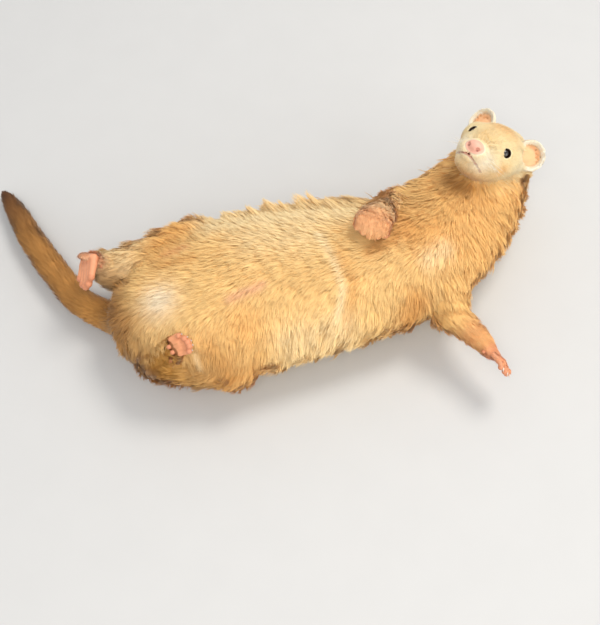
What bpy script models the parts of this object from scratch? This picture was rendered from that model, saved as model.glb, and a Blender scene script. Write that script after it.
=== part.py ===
"""A ferret lying on its back, belly up, with its head raised to look at the viewer.

Sizes are in millimetres and become metres once each part is shaped. +X runs along the trunk from
the tail to the head, +Y to the ferret's own right side, and +Z up, so the belly faces +Z and the
back lies on the floor at Z = 0. Every radius reaches to the tips of the coat. The sections and
joints are written about the middle of the trunk, and the finished parts move by BOX_CENTRE, which
puts the origin on the floor under the middle of the whole animal, tail and paws included.
"""

import math

import bmesh
import bpy
from mathutils import Matrix, Vector

# Driving dimensions
MM = 0.001
GAP = 0.3  # clearance where two nodes meet
JOINT_ROOM = 1.5  # clearance in the body round knees, elbows, hocks and wrists
MERGE = 0.02  # vertices nearer than this become one
BLEND_CELL = 3.2  # cell of the mesh that blends the trunk, neck and tail into one form
BODY_TRIANGLES = 1500
BOX_CENTRE = Vector((-7.9, 28.7, 0))

# The skull's frame: its origin is midway between the ears
HEAD_AT = Vector((169.2, 63.6, 75.2))
HEAD_FORWARD = Vector((-0.553, -0.321, 0.769))
HEAD_LEFT = Vector((0.531, -0.847, 0.028))
# Skull sections from nape to nose: forward, up, half width, half height
HEAD_SECTIONS = [
    (-24, -6, 17, 15),
    (-13, -2.5, 22.5, 19),
    (0, -1.5, 25.5, 21),
    (11, -4.5, 26, 23),
    (21, -8.5, 24.5, 22.5),
    (30, -11, 20.5, 20),
    (38, -11, 16.2, 16),
    (43, -8.5, 11.3, 11.5),
]
EYE_AT = (27.2, 15.6, 3.3)  # forward, sideways, up
EYE_RADIUS = 4.2
MUZZLE_ROUNDNESS = 0.55  # how far the skull's dome stands out behind the nose, in its half height
NOSE_AT = (47, 0, -4)
NOSE_HALVES = (3.4, 5.4, 4.2)
EAR_AT = (-4, 22, 9.8)
EAR_FACING = Vector((0.925, 0.36, 0.10))  # the way the hollow of the left ear looks
EAR_OUTWARD = Vector((-0.335, 0.688, 0.644))  # from the left ear's root to its rim
EAR_HALF_WIDTH = 12
EAR_HEIGHT = 11.6
EAR_HALF_THICKNESS = 1.9
EAR_HOLLOW = 3.6  # how far the rim stands forward of the middle
JAW_EDGE = (22, -15.5)  # the lower jaw starts this far forward, and lies below this height
JAW_BLOCK = (50, 60, 50)

# Trunk and neck: x, y, z, half width, half height
SPINE_SECTIONS = [
    (-121, 5, 34, 34, 30),
    (-108, 1, 38, 47, 38),
    (-86, 0, 39, 59, 42),
    (-52, 2, 40, 65, 44),
    (-14, 5, 39, 66, 42),
    (20, 6, 38, 64, 41),
    (54, 6, 38, 60, 41),
    (86, 8, 38, 54, 41),
    (110, 17, 38, 49, 40),
    (128, 30, 39, 46, 38),
    (147, 44, 42, 42, 36),
    (162, 57, 48, 37, 33),
    (171, 65, 57, 30, 29),
]
RUMP_ROUNDNESS = 0.55
# Tail: x, y, z, half width, half height
TAIL_SECTIONS = [
    (-112, 4, 30, 20, 20),
    (-131, 10, 22, 15.5, 17),
    (-144, 20, 18, 13.5, 15),
    (-157, 32, 15, 13, 13.5),
    (-169, 48, 13, 13, 13),
    (-186, 85, 12, 13, 12.5),
    (-197, 113, 11, 12, 11.8),
    (-206, 141, 9, 9.5, 9.5),
    (-214, 162, 5, 2.2, 3.4),
]
# Where the trunk, neck and tail are parted: a point, the way to the next part, half size
PARTINGS = [
    ((130, 31, 39), (0.80, 0.60, 0.05), 75),
    ((66, 5, 38), (1, 0, 0), 90),
    ((-46, 4, 38), (1, 0, 0), 90),
    ((-154, 29, 15), (0.70, -0.71, 0.10), 21),
    ((-176, 62, 12), (0.41, -0.91, 0.0), 20),
    ((-195, 107, 10), (0.38, -0.92, 0.0), 18),
]
# The middle of each part of the body that the partings leave
BODY_PARTS = {
    "neck": (155, 47, 45),
    "chest": (100, 8, 38),
    "abdomen": (10, 4, 38),
    "pelvis": (-90, 2, 38),
    "tail_root": (-165, 44, 13),
    "tail_middle": (-186, 85, 11),
    "tail_tip": (-204, 132, 9),
}

# Legs: shoulder or hip, elbow or knee, wrist or hock, knuckles, toe tips, with radii
LEGS = {
    "foreleg_right": {
        "joints": [(112, 42, 42), (92, 50, 50), (69, 28, 79), (57, 13, 91), (52, 3, 87)],
        "upper_radii": (17, 16, 13),
        "lower_radii": (13, 11, 9),
        "paw": (12.5, 8),
        "back_of_paw": (-0.3, -0.3, 0.9),
    },
    "foreleg_left": {
        "joints": [(106, -17, 44), (101, -47, 42), (116, -72, 41), (123, -87, 40), (129, -101, 37)],
        "upper_radii": (20, 19, 15),
        "lower_radii": (15, 10.5, 8),
        "paw": (9, 5.5),
        "back_of_paw": (0.8, 0.35, 0.5),
    },
    "hind_leg_right": {
        "joints": [(-90, 32, 38), (-70, 47, 56), (-129, 41.5, 44), (-149.5, 45, 65), (-152.5, 29, 57)],
        "upper_radii": (22, 21, 18),
        "lower_radii": (18, 18.5, 18),
        "paw": (9.5, 6),
        "back_of_paw": (0.37, 0.88, 0.28),
    },
    "hind_leg_left": {
        "joints": [(-92, -32, 38), (-60, -52, 35), (-114, -40, 42), (-98, -44, 69), (-86, -46, 77)],
        "upper_radii": (22, 22, 19),
        "lower_radii": (19, 17, 14),
        "paw": (9.5, 6),
        "back_of_paw": (0.68, 0.51, -0.52),
    },
}
LIMB_NAMES = {
    "foreleg_right": ("upper_foreleg_right", "lower_foreleg_right", "forepaw_right"),
    "foreleg_left": ("upper_foreleg_left", "lower_foreleg_left", "forepaw_left"),
    "hind_leg_right": ("thigh_right", "shank_right", "hind_paw_right"),
    "hind_leg_left": ("thigh_left", "shank_left", "hind_paw_left"),
}
TOES = 5
TOE_RADIUS = 2.6
TOE_ARCH = 0.5  # how far a toe's middle stands up, in toe radii
TOE_FAN = 1.15  # how much wider the toes stand at their tips than at the knuckles
OUTER_TOE_SHORTER = 0.3
CLAW_RADIUS = 1.1
CLAW_LENGTH = 4.5
CLAW_DROOP = 0.35

# Colours and surface
GOLDEN = (0.82, 0.50, 0.20)
CREAM = (0.90, 0.72, 0.42)
PALE = (0.93, 0.82, 0.60)
CARAMEL = (0.50, 0.27, 0.09)
PINK = (0.85, 0.45, 0.32)
DARK = (0.02, 0.01, 0.01)
FUR_ROUGHNESS = 0.75
EYE_ROUGHNESS = 0.15
COLOURS = {
    "head": PALE,
    "lower_jaw": PALE,
    "ear": CREAM,
    "nose": PINK,
    "eye": DARK,
    "abdomen": CREAM,
    "tail": CARAMEL,
    "forepaw": PINK,
    "hind": PINK,
}


def clear_scene():
    for item in list(bpy.data.objects):
        bpy.data.objects.remove(item, do_unlink=True)


def add_object(name, bm):
    """Makes an object of a bmesh whose sizes are in millimetres."""
    bmesh.ops.recalc_face_normals(bm, faces=bm.faces)
    mesh = bpy.data.meshes.new(name)
    bm.to_mesh(mesh)
    bm.free()
    item = bpy.data.objects.new(name, mesh)
    bpy.context.scene.collection.objects.link(item)
    return item


def edit(item):
    bm = bmesh.new()
    bm.from_mesh(item.data)
    return bm


def store(item, bm):
    bm.to_mesh(item.data)
    bm.free()


def apply_modifiers(item):
    """Replaces an object's mesh by the shape that its modifiers give it."""
    graph = bpy.context.evaluated_depsgraph_get()
    shaped = bpy.data.meshes.new_from_object(item.evaluated_get(graph))
    item.modifiers.clear()
    item.data = shaped


def catmull_rom(rows, steps):
    """Rows of numbers made denser by a smooth curve through all of them."""
    rows = [Vector(row) for row in rows]
    padded = [2 * rows[0] - rows[1]] + rows + [2 * rows[-1] - rows[-2]]
    dense = []
    for i in range(len(rows) - 1):
        a, b, c, d = padded[i : i + 4]
        for k in range(steps):
            t = k / steps
            bend = (2 * a - 5 * b + 4 * c - d) * t**2 + (3 * (b - c) + d - a) * t**3
            dense.append(0.5 * (2 * b + (c - a) * t + bend))
    return dense + [rows[-1]]


def ring(bm, centre, side, height, half_width, half_height, count):
    """A closed ring of vertices on an ellipse."""
    points = []
    for i in range(count):
        angle = 2 * math.pi * i / count
        offset = side * (half_width * math.cos(angle)) + height * (half_height * math.sin(angle))
        points.append(bm.verts.new(centre + offset))
    return points


def tube(bm, sections, side, count=16, caps=(1.0, 1.0), domes=(30, 57, 80)):
    """A closed tube through sections of (centre, half width, half height), with round ends."""
    centres = [Vector(section[0]) for section in sections]
    last = len(sections) - 1
    frames = []
    for i, (_, half_width, half_height) in enumerate(sections):
        tangent = (centres[min(i + 1, last)] - centres[max(i - 1, 0)]).normalized()
        frames.append((centres[i], tangent, half_width, half_height))
    start_rings = round_end(frames[0], -caps[0], domes)
    end_rings = round_end(frames[-1], caps[1], domes)
    rings = start_rings[::-1] + frames + end_rings
    loops = []
    for centre, tangent, half_width, half_height in rings:
        across = (side - tangent * side.dot(tangent)).normalized()
        loops.append(ring(bm, centre, across, tangent.cross(across), half_width, half_height, count))
    for near, far in zip(loops, loops[1:]):
        for i in range(count):
            bm.faces.new((near[i], near[(i + 1) % count], far[(i + 1) % count], far[i]))
    bm.faces.new(loops[0])
    bm.faces.new(loops[-1])


def round_end(frame, roundness, angles):
    """Rings that close the end of a tube as a dome. A negative roundness is for its start."""
    centre, tangent, half_width, half_height = frame
    reach = min(half_width, half_height) * roundness
    rings = []
    for angle in angles:
        a = math.radians(angle)
        shrink = math.cos(a)
        centre_here = centre + tangent * (reach * math.sin(a))
        rings.append((centre_here, tangent, half_width * shrink, half_height * shrink))
    return rings


def head_matrix():
    forward = HEAD_FORWARD.normalized()
    left = (HEAD_LEFT - forward * HEAD_LEFT.dot(forward)).normalized()
    up = forward.cross(left)
    frame = Matrix((forward, left, up)).transposed().to_4x4()
    frame.translation = HEAD_AT
    return frame


HEAD = head_matrix()
HEAD_AXES = [HEAD.to_3x3().col[i].copy() for i in range(3)]


def keep_side(item, point, normal):
    """Cuts an object with a plane and keeps what lies on the side its normal points to."""
    bm = edit(item)
    bmesh.ops.bisect_plane(
        bm,
        geom=bm.verts[:] + bm.edges[:] + bm.faces[:],
        plane_co=point,
        plane_no=normal,
        clear_inner=True,
    )
    rim = [edge for edge in bm.edges if edge.is_boundary]
    bmesh.ops.holes_fill(bm, edges=rim, sides=0)
    bmesh.ops.recalc_face_normals(bm, faces=bm.faces)
    store(item, bm)


def drop_flaps(bm):
    """Removes pairs of triangles that lie back to back."""
    seen = {}
    for face in bm.faces:
        seen.setdefault(frozenset(vert.index for vert in face.verts), []).append(face)
    flaps = [face for faces in seen.values() if len(faces) > 1 for face in faces]
    bmesh.ops.delete(bm, geom=flaps, context="FACES_ONLY")
    bmesh.ops.delete(bm, geom=[edge for edge in bm.edges if not edge.link_faces], context="EDGES")
    bmesh.ops.delete(bm, geom=[vert for vert in bm.verts if not vert.link_faces], context="VERTS")


def tidy(item):
    """Merges near vertices, drops slivers and leaves triangles."""
    bm = edit(item)
    bmesh.ops.remove_doubles(bm, verts=bm.verts, dist=MERGE)
    bmesh.ops.dissolve_degenerate(bm, edges=bm.edges, dist=MERGE)
    bmesh.ops.triangulate(bm, faces=bm.faces)
    drop_flaps(bm)
    bmesh.ops.recalc_face_normals(bm, faces=bm.faces)
    store(item, bm)


def boolean(item, tool, operation):
    change = item.modifiers.new("boolean", "BOOLEAN")
    change.operation = operation
    change.solver = "EXACT"
    change.use_self = operation == "UNION"
    change.object = tool
    apply_modifiers(item)
    tidy(item)


def inflated(item, reach):
    """A copy of an object whose surface stands out by a short way."""
    bm = edit(item)
    bm.normal_update()
    moves = [(vert, vert.normal * reach) for vert in bm.verts]
    for vert, move in moves:
        vert.co += move
    return add_object("cutter", bm)


def carve(item, tool):
    """Takes a second object's shape, with the clearance round it, out of the first."""
    cutter = inflated(tool, GAP)
    boolean(item, cutter, "DIFFERENCE")
    bpy.data.objects.remove(cutter)


def islands(item):
    """The separate pieces of a mesh, each as a list of vertex indices."""
    bm = edit(item)
    bm.verts.ensure_lookup_table()
    left = set(range(len(bm.verts)))
    pieces = []
    while left:
        stack = [left.pop()]
        piece = []
        while stack:
            index = stack.pop()
            piece.append(index)
            for edge in bm.verts[index].link_edges:
                other = edge.other_vert(bm.verts[index]).index
                if other in left:
                    left.remove(other)
                    stack.append(other)
        pieces.append(piece)
    bm.free()
    return sorted(pieces, key=len, reverse=True)


def keep_piece(item, piece):
    bm = edit(item)
    bm.verts.ensure_lookup_table()
    kept = set(piece)
    bmesh.ops.delete(bm, geom=[vert for vert in bm.verts if vert.index not in kept], context="VERTS")
    store(item, bm)


def spine_tube(bm, rows, side, roundness):
    dense = catmull_rom(rows, 3)
    sections = [((row[0], row[1], row[2]), row[3], row[4]) for row in dense]
    tube(bm, sections, side, caps=(roundness, 1.0))


def make_head():
    """The skull with its muzzle and cheeks."""
    dense = catmull_rom(HEAD_SECTIONS, 2)
    sections = [(HEAD @ Vector((row[0], 0, row[1])), row[2], row[3]) for row in dense]
    bm = bmesh.new()
    tube(bm, sections, HEAD_AXES[1], caps=(1.0, MUZZLE_ROUNDNESS), domes=(38, 72))
    return add_object("head", bm)


def make_body():
    """The trunk, neck and tail as one blended form."""
    bm = bmesh.new()
    spine_tube(bm, SPINE_SECTIONS, Vector((-0.35, 1, 0)), RUMP_ROUNDNESS)
    spine_tube(bm, TAIL_SECTIONS, Vector((0.8, 0.6, 0)), 1.0)
    body = add_object("body", bm)
    blend = body.modifiers.new("blend", "REMESH")
    blend.mode = "VOXEL"
    blend.voxel_size = BLEND_CELL
    ease = body.modifiers.new("ease", "SMOOTH")
    ease.factor = 0.5
    ease.iterations = 5
    apply_modifiers(body)
    thin = body.modifiers.new("thin", "DECIMATE")
    thin.ratio = BODY_TRIANGLES / (2 * len(body.data.polygons))
    apply_modifiers(body)
    keep_side(body, (0, 0, 0), (0, 0, 1))
    return body


def limb_tube(name, start, end, radii, side):
    """One length of a leg: a round-ended tube through three radii."""
    start, end = Vector(start), Vector(end)
    sections = [(start.lerp(end, t), radius, radius) for t, radius in zip((0, 0.5, 1), radii)]
    bm = bmesh.new()
    tube(bm, sections, side, count=12, domes=(38, 72))
    return add_object(name, bm)


def toe(bm, root, tip, back, radius):
    """A toe that bends down to its claw."""
    root, tip = Vector(root), Vector(tip)
    along = (tip - root).normalized()
    middle = root.lerp(tip, 0.5) + back * (radius * TOE_ARCH)
    claw = tip + (along - back * CLAW_DROOP).normalized() * CLAW_LENGTH
    sections = [
        (root, radius, radius),
        (middle, radius * 1.05, radius),
        (tip, radius * 0.75, radius * 0.7),
        (tip.lerp(claw, 0.3), CLAW_RADIUS, CLAW_RADIUS),
        (claw, CLAW_RADIUS * 0.45, CLAW_RADIUS * 0.5),
    ]
    tube(bm, sections, back.cross(along), count=5, domes=(55,))


def paw_axes(leg):
    """The way across the paw and the way its back faces."""
    wrist, knuckles = [Vector(joint) for joint in leg["joints"][2:4]]
    across = Vector(leg["back_of_paw"]).cross(knuckles - wrist).normalized()
    return across, (knuckles - wrist).cross(across).normalized()


def make_palm(name, leg, room=0):
    """The paw without its toes, made larger all round by the room asked for."""
    wrist, knuckles = [Vector(joint) for joint in leg["joints"][2:4]]
    half_width, half_depth = leg["paw"]
    wrist_radius = leg["lower_radii"][2]
    sections = [
        (wrist, wrist_radius + room, wrist_radius + room),
        (wrist.lerp(knuckles, 0.55), half_width * 0.9 + room, half_depth + room),
        (knuckles, half_width * 0.85 + room, half_depth * 0.75 + room),
    ]
    bm = bmesh.new()
    tube(bm, sections, paw_axes(leg)[0], count=10, caps=(1.0, 0.6), domes=(38, 72))
    return add_object(name, bm)


def make_paw(name, leg):
    """A palm with five toes, whose claws are part of them."""
    knuckles, tips = [Vector(joint) for joint in leg["joints"][3:5]]
    half_width = leg["paw"][0]
    across, back = paw_axes(leg)
    paw = make_palm(name, leg)
    bm = bmesh.new()
    for i in range(TOES):
        place = 2 * i / (TOES - 1) - 1
        spread = across * (place * (half_width - TOE_RADIUS * 0.8))
        shorter = (knuckles - tips) * (OUTER_TOE_SHORTER * place**2)
        root = knuckles + spread
        tip = tips + spread * TOE_FAN + shorter
        toe(bm, root, tip, back, TOE_RADIUS * (1 - 0.12 * abs(place)))
    toes = add_object("toes", bm)
    boolean(paw, toes, "UNION")
    bpy.data.objects.remove(toes)
    return paw


def leg_cutters(leg):
    """Shapes that make room for a leg in the body. Each ends inside the next at the joints."""
    hip, knee, hock = leg["joints"][:3]
    side = (Vector(knee) - Vector(hip)).cross(Vector(hock) - Vector(knee)).normalized()
    upper_radii = [radius + GAP for radius in leg["upper_radii"]]
    near, middle, far = leg["lower_radii"]
    lower_radii = [near + JOINT_ROOM, middle + GAP, far + JOINT_ROOM]
    upper = limb_tube("cutter", hip, knee, upper_radii, side)
    lower = limb_tube("cutter", knee, hock, lower_radii, side)
    return [upper, lower, make_palm("cutter", leg, GAP)]


def make_leg(names, leg):
    """Upper leg, lower leg and paw, each cut on the mitre plane of the joint between them."""
    upper_name, lower_name, paw_name = names
    hip, knee, hock, knuckles, _ = [Vector(joint) for joint in leg["joints"]]
    side = (knee - hip).cross(hock - knee).normalized()
    upper = limb_tube(upper_name, hip, knee, leg["upper_radii"], side)
    lower = limb_tube(lower_name, knee, hock, leg["lower_radii"], side)
    paw = make_paw(paw_name, leg)
    cutters = leg_cutters(leg)
    knee_way = ((knee - hip).normalized() + (hock - knee).normalized()).normalized()
    hock_way = ((hock - knee).normalized() + (knuckles - hock).normalized()).normalized()
    keep_side(upper, knee - knee_way * (GAP / 2), -knee_way)
    keep_side(lower, knee + knee_way * (GAP / 2), knee_way)
    keep_side(lower, hock - hock_way * (GAP / 2), -hock_way)
    keep_side(paw, hock + hock_way * (GAP / 2), hock_way)
    carve(upper, paw)
    return [upper, lower, paw], cutters


def ball(name, centre, halves, axes, rings=8, segments=10):
    """An ellipsoid with its half axes along three given directions."""
    bm = bmesh.new()
    bmesh.ops.create_uvsphere(bm, u_segments=segments, v_segments=rings, radius=1)
    turn = Matrix([axis.normalized() for axis in axes]).transposed().to_4x4()
    place = Matrix.Translation(centre) @ turn @ Matrix.Diagonal((*halves, 1))
    bmesh.ops.transform(bm, matrix=place, verts=bm.verts)
    return add_object(name, bm)


def mirrored(vector, way):
    return Vector((vector[0], way * vector[1], vector[2]))


def make_eye(name, way):
    return ball(name, HEAD @ mirrored(EYE_AT, way), (EYE_RADIUS,) * 3, HEAD_AXES, rings=7, segments=9)


def make_nose():
    return ball("nose", HEAD @ Vector(NOSE_AT), NOSE_HALVES, HEAD_AXES, rings=6)


def make_ear(name, way):
    """A round ear flap, hollow towards the front."""
    turn = HEAD.to_3x3()
    facing = (turn @ mirrored(EAR_FACING, way)).normalized()
    outward = turn @ mirrored(EAR_OUTWARD, way)
    outward = (outward - facing * outward.dot(facing)).normalized()
    across = outward.cross(facing)
    halves = (EAR_HALF_WIDTH, EAR_HEIGHT, EAR_HALF_THICKNESS)
    root = HEAD @ mirrored(EAR_AT, way)
    ear = ball(name, root, halves, (across, outward, facing), rings=7, segments=12)
    bm = edit(ear)
    for vert in bm.verts:
        offset = vert.co - root
        reach = (offset.dot(across) / EAR_HALF_WIDTH) ** 2 + (offset.dot(outward) / EAR_HEIGHT) ** 2
        vert.co += facing * (EAR_HOLLOW * reach)
    store(ear, bm)
    return ear


def block(centre, turn, sizes):
    """A box of three given sizes, turned by a matrix."""
    bm = bmesh.new()
    bmesh.ops.create_cube(bm, size=1)
    place = Matrix.Translation(centre) @ turn @ Matrix.Diagonal((*sizes, 1))
    bmesh.ops.transform(bm, matrix=place, verts=bm.verts)
    return add_object("block", bm)


def copied(item, name):
    copy = item.copy()
    copy.data = item.data.copy()
    copy.name = name
    bpy.context.scene.collection.objects.link(copy)
    return copy


def part_body(body):
    """Splits the blended form into its named parts with thin plates."""
    for point, normal, half_size in PARTINGS:
        turn = Vector(normal).to_track_quat("Z", "Y").to_matrix().to_4x4()
        plate = block(point, turn, (2 * half_size, 2 * half_size, GAP))
        boolean(body, plate, "DIFFERENCE")
        bpy.data.objects.remove(plate)
    pieces = islands(body)
    parts = []
    for name, middle in BODY_PARTS.items():
        part = copied(body, name)
        keep_piece(part, nearest_piece(body, pieces, Vector(middle)))
        parts.append(part)
    bpy.data.objects.remove(body)
    return parts


def nearest_piece(body, pieces, middle):
    """The large piece whose centre is nearest to a point."""
    verts = body.data.vertices
    best, best_distance = None, math.inf
    for piece in pieces[: len(BODY_PARTS)]:
        centre = sum((verts[index].co for index in piece), Vector()) / len(piece)
        distance = (centre - middle).length
        if distance < best_distance:
            best, best_distance = piece, distance
    return best


def part_jaw(head):
    """Parts the lower jaw from the skull along the closed mouth."""
    jaw = copied(head, "lower_jaw")
    length, _, depth = JAW_BLOCK
    centre = HEAD @ Vector((JAW_EDGE[0] + length / 2, 0, JAW_EDGE[1] - depth / 2))
    below = block(centre, HEAD.to_3x3().to_4x4(), JAW_BLOCK)
    boolean(jaw, below, "INTERSECT")
    carve(head, below)
    bpy.data.objects.remove(below)
    return jaw


def finish(item, parent):
    """Makes a part metres, puts its origin at its middle, shades it smooth and gives it its material."""
    item.data.transform(Matrix.Diagonal((MM, MM, MM, 1)) @ Matrix.Translation(-BOX_CENTRE))
    middle = sum((vert.co for vert in item.data.vertices), Vector()) / len(item.data.vertices)
    item.data.transform(Matrix.Translation(-middle))
    item.location = middle
    item.parent = parent
    paint = bpy.data.materials.new(item.name)
    paint.use_nodes = True
    shader = paint.node_tree.nodes["Principled BSDF"]
    shader.inputs["Base Color"].default_value = (*colour_of(item.name), 1)
    shader.inputs["Roughness"].default_value = EYE_ROUGHNESS if "eye" in item.name else FUR_ROUGHNESS
    item.data.materials.clear()
    item.data.materials.append(paint)
    item.data.shade_smooth()


def colour_of(name):
    for start, colour in COLOURS.items():
        if name.startswith(start):
            return colour
    return GOLDEN


def make_legs(body):
    """All four legs, with room made for them in the body."""
    limbs = []
    for key, leg in LEGS.items():
        parts, cutters = make_leg(LIMB_NAMES[key], leg)
        limbs += parts
        for cutter in cutters:
            boolean(body, cutter, "DIFFERENCE")
            bpy.data.objects.remove(cutter)
    return limbs


def make_features():
    """The nose, the eyes and the ears."""
    features = [make_nose()]
    for side, way in (("left", 1), ("right", -1)):
        features.append(make_eye(f"eye_{side}", way))
        features.append(make_ear(f"ear_{side}", way))
    return features


def main():
    clear_scene()
    body = make_body()
    head = make_head()
    carve(body, head)
    limbs = make_legs(body)
    features = make_features()
    for item in features:
        carve(head, item)
    flesh = part_body(body) + [head, part_jaw(head)]
    for item in flesh:
        keep_piece(item, islands(item)[0])
    ferret = bpy.data.objects.new("ferret", None)
    bpy.context.scene.collection.objects.link(ferret)
    for item in flesh + limbs + features:
        finish(item, ferret)


main()
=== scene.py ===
"""The looks of a ferret that lies on its back: one skin over its flesh, its fur, eyes, claws and whiskers.

Lengths are in millimetres in the anatomy's own frame, about the middle of the trunk: +X towards the
head, +Y to the ferret's right side and +Z up, the way the belly faces. A mesh becomes metres, and
moves by BOX_CENTRE to where the solids stand, when its object is made.
"""

import math
from types import SimpleNamespace

import bmesh
import bpy
import numpy as np
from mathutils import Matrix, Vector
from mathutils.kdtree import KDTree


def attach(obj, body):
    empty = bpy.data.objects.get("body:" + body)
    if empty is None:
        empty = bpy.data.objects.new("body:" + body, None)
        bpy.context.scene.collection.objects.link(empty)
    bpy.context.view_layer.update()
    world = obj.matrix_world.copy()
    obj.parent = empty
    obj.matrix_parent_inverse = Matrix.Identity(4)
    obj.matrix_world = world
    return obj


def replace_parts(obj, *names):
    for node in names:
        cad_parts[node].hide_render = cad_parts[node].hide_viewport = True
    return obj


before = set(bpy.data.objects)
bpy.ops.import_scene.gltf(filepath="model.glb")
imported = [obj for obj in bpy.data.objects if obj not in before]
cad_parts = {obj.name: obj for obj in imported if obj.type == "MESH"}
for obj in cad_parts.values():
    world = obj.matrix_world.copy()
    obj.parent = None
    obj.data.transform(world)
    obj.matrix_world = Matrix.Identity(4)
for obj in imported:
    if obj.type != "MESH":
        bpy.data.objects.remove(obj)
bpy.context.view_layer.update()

MM = 0.001
BOX_CENTRE = np.array((-7.9, 28.7, 0.0))
FAR = 1000.0
TINY = 1e-9
SEED = 7
CELL = 1.85  # the size of the skin's faces before the fine parts are halved
ROUGH = 4  # cells between the samples of the first, rough look
# How far the finer faces reach round each place
FACE_MIDDLE = (24, 0, -2)
FINE_FACE, FINE_PAW = 34, 22
FINE_EYE, FINE_NOSE, FINE_MOUTH, FINE_TOES = 7, 8, 2.2, 13
AXES = np.eye(3, dtype=int)
GRID_LOW = np.array((-222.0, -112.0, -3.0))
GRID_HIGH = np.array((208.0, 170.0, 116.0))

# Trunk and neck: x, y, z, half width, half height, depth of the coat
TRUNK_ROWS = [
    (-121, 5, 34, 34, 30, 7),
    (-108, 1, 38, 47, 38, 7),
    (-86, 0, 39, 59, 42, 7),
    (-52, 2, 40, 65, 44, 7),
    (-14, 5, 39, 66, 42, 7.5),
    (20, 6, 38, 64, 41, 8),
    (54, 6, 38, 60, 41, 8),
    (86, 8, 38, 54, 41, 8),
    (110, 17, 38, 49, 40, 8),
    (128, 30, 39, 46, 38, 7.5),
    (147, 44, 42, 42, 36, 7),
    (162, 57, 48, 37, 33, 7),
    (171, 65, 57, 30, 29, 6),
]
TRUNK_SIDE = (-0.35, 1, 0)
TAIL_ROWS = [
    (-112, 4, 30, 20, 20, 7),
    (-131, 10, 22, 15.5, 17, 6.5),
    (-144, 20, 18, 13.5, 15, 6),
    (-157, 32, 15, 13, 13.5, 6),
    (-169, 48, 13, 13, 13, 6),
    (-186, 85, 12, 13, 12.5, 6),
    (-197, 113, 11, 12, 11.8, 6),
    (-206, 141, 9, 9.5, 9.5, 5.5),
    (-214, 162, 5, 2.2, 3.4, 1),
]
TAIL_SIDE = (0.8, 0.6, 0)
FLOOR_SKIN = 2.6  # the coat under the body is pressed down to this depth
# Where the tail, head and paws are looked for: a middle and a reach
TAIL_MIDDLE, TAIL_REACH = np.array((-165, 75, 15)), 130
HEAD_MIDDLE, HEAD_REACH = (8, 0, 2), 64
PAW_REACH = 48
# How softly one form passes into the next, in mm
TAIL_JOIN, LEG_JOIN, HEAD_JOIN, PAW_JOIN, KNEE_JOIN, FLOOR_JOIN = 14, 9, 8, 5, 3, 5

# The skull's frame: its origin is midway between the ears
HEAD_AT = np.array((169.2, 63.6, 75.2))
HEAD_FORWARD = np.array((-0.553, -0.321, 0.769))
HEAD_LEFT = np.array((0.531, -0.847, 0.028))
# Skull sections from nape to nose: forward, up, half width, half height, depth of the coat
HEAD_ROWS = [
    (-24, -6, 17, 15, 6),
    (-13, -2.5, 22.5, 19, 5),
    (0, -1.5, 25.5, 21, 4.5),
    (11, -4.5, 26, 23, 4.5),
    (21, -8.5, 24.5, 22.5, 4.2),
    (30, -11, 20.5, 20, 3.4),
    (38, -11, 16.2, 16, 2.4),
    (43, -8.5, 11.3, 11.5, 1.7),
]
HAIR_PARTS_AT = np.array((54, 0, -6))  # the face's hair lies away from here
EAR_COAT = 0.5  # its depth
EAR_ROOT_COAT = 1.3
FACE_BIAS = 0.5  # the share by which the coat is deeper under the jaw, and shallower on the brow
MUZZLE_ROUNDNESS = 0.55
EYE_AT = np.array((23.8, 13.5, 1.8))
EYE_RADIUS = 4.1
EYE_OUTWARD = np.array((0.70, 0.64, 0.31))
LID_THICKNESS = 0.7
LID_OPENING = (3.6, 3.4)
PIT_FLOOR = 1.0
LID_JOIN, LID_EDGE = 2.2, 0.4
NOSE_AT = np.array((46.8, 0, -4.3))
NOSE_HALVES = np.array((3.7, 5.8, 4.4))
NOSTRIL_AT = np.array((49.0, 4.0, -5.2))
NOSTRIL_HALVES = np.array((2.3, 1.7, 1.4))
PHILTRUM = ((50.8, 0, -6.2), (48.4, 0, -11.2), 0.35, 0.4)  # from, to, and a radius at each end
MOUTH = [(47.8, 0, -11.2), (45.6, 3.8, -12.6), (41.5, 7.0, -15.2), (37.5, 8.8, -17.4)]
MOUTH_DEPTH = 0.36  # the smaller, the deeper the mouth's line is cut
LIP_GROOVE = 0.55
EAR_AT = np.array((-4, 22, 9.8))
EAR_FACING = np.array((0.925, 0.36, 0.10))
EAR_OUTWARD = np.array((-0.335, 0.688, 0.644))
EAR_HALF_WIDTH = 11.6
EAR_HEIGHT = 11.2
EAR_THICKNESS = (0.9, 0.9)  # half thickness in the middle, and what the rim adds
EAR_HOLLOW = 3.6

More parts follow.
